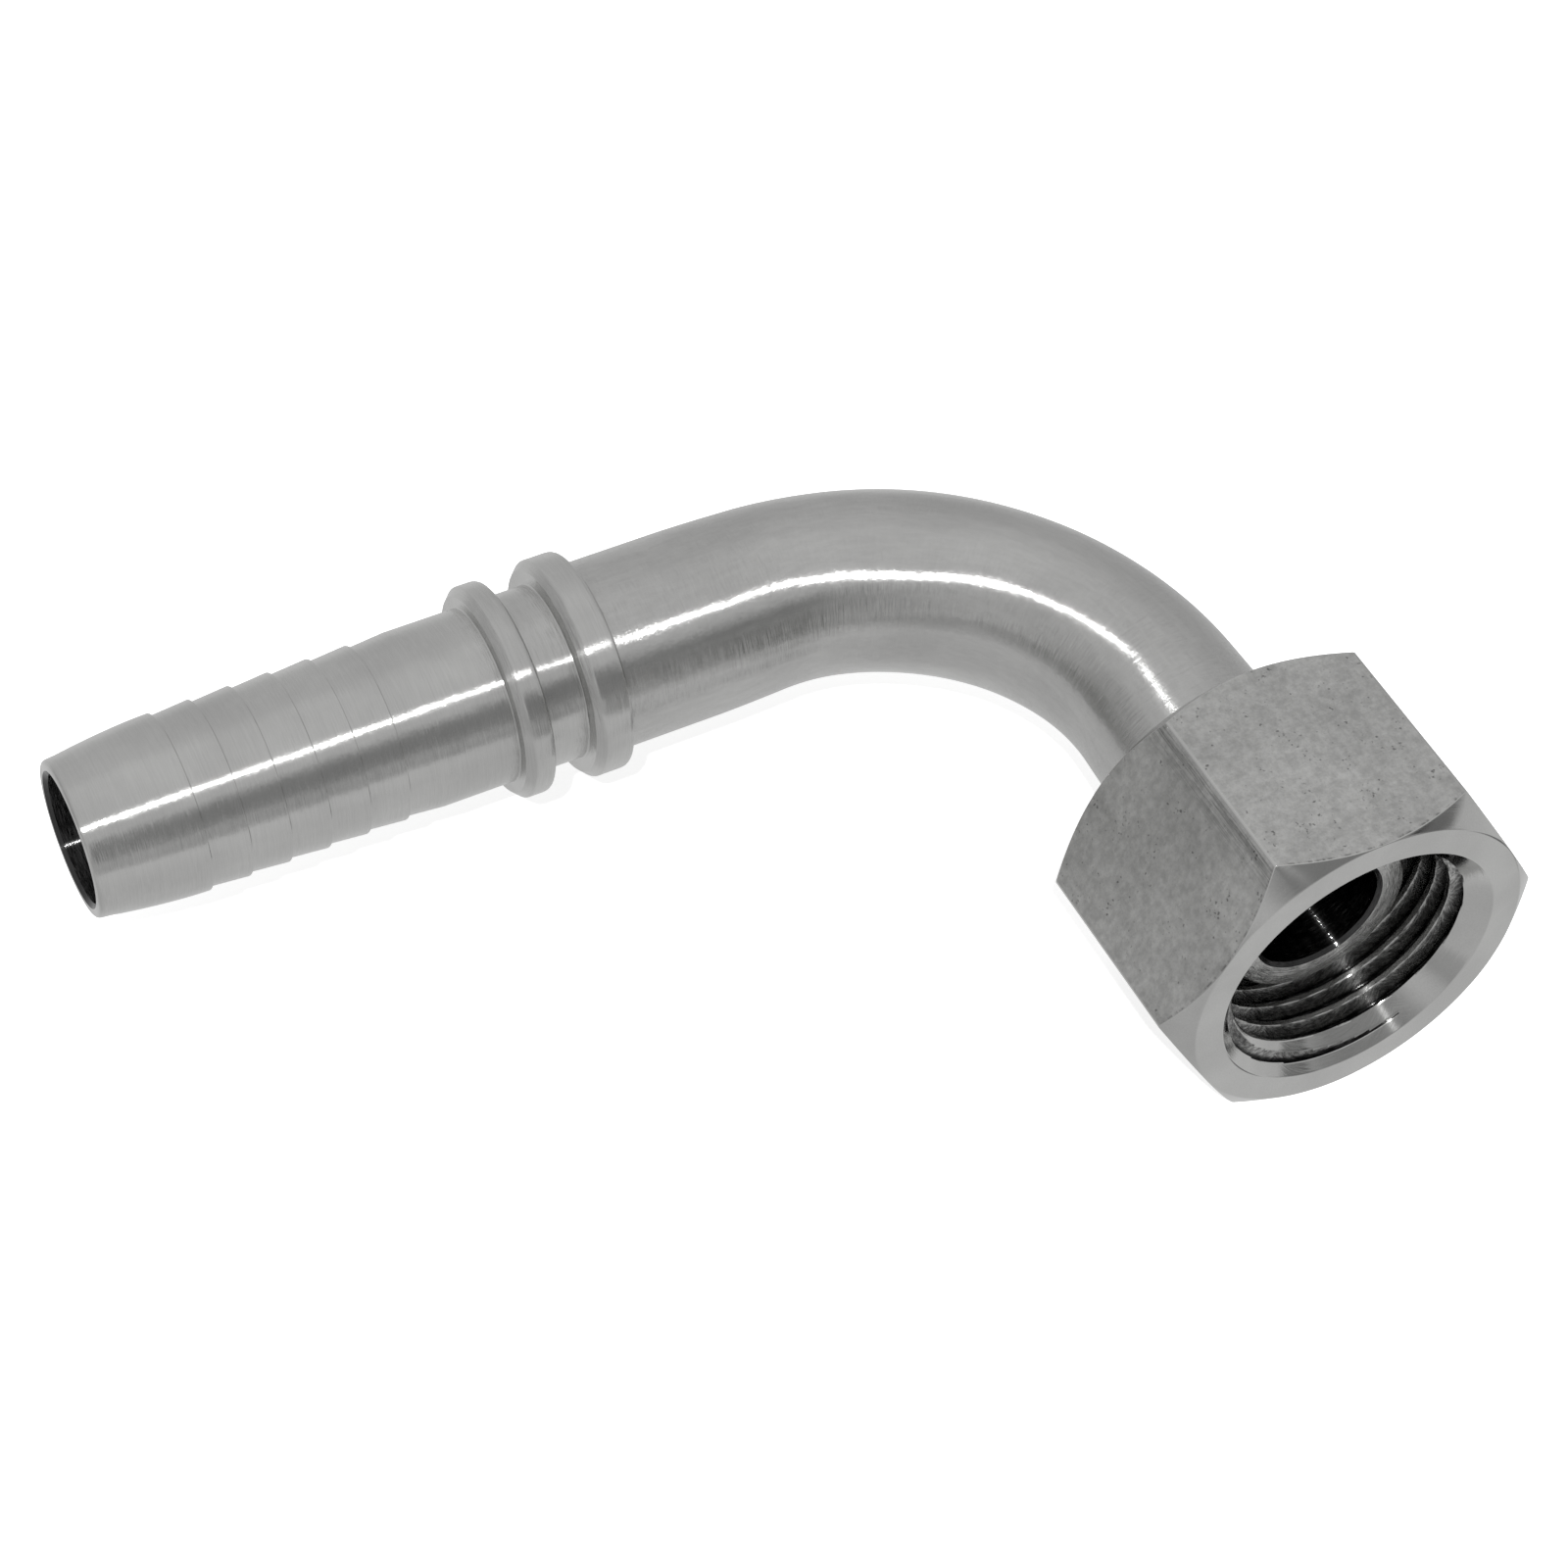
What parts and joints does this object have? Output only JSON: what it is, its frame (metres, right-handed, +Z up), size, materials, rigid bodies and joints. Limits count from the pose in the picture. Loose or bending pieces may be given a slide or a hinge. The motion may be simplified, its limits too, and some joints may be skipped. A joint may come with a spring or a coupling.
{
  "type": "elbow hose tail",
  "caption": "Right-angle hose tail in bent tube, with hose serrations and ferrule collars, and a hexagonal swivel nut round its coned head.",
  "frame": {"origin": "on the nut's axis, at the outer end of its internal thread", "axes": "-Y along the nut's axis, out of its mouth; -X along the tail, towards its tip; +Z up, square to the plane of the two axes, with a flat of the nut underneath"},
  "size_m": [0.0936, 0.0594, 0.027],
  "materials": {
    "turned_steel": "turned and drawn stainless steel, satin",
    "nut_steel": "drawn hexagon bar with turned faces, fine pits, satin"
  },
  "bodies": {
    "tail": {"elbow_body": "turned_steel"},
    "nut": {"swivel_nut": "nut_steel"}
  },
  "joints": [
    {"name": "nut_swivel", "type": "hinge", "parent": "tail", "child": "nut", "pos_m": [0, 0, 0], "axis": [0, -1, 0], "continuous": true}
  ]
}
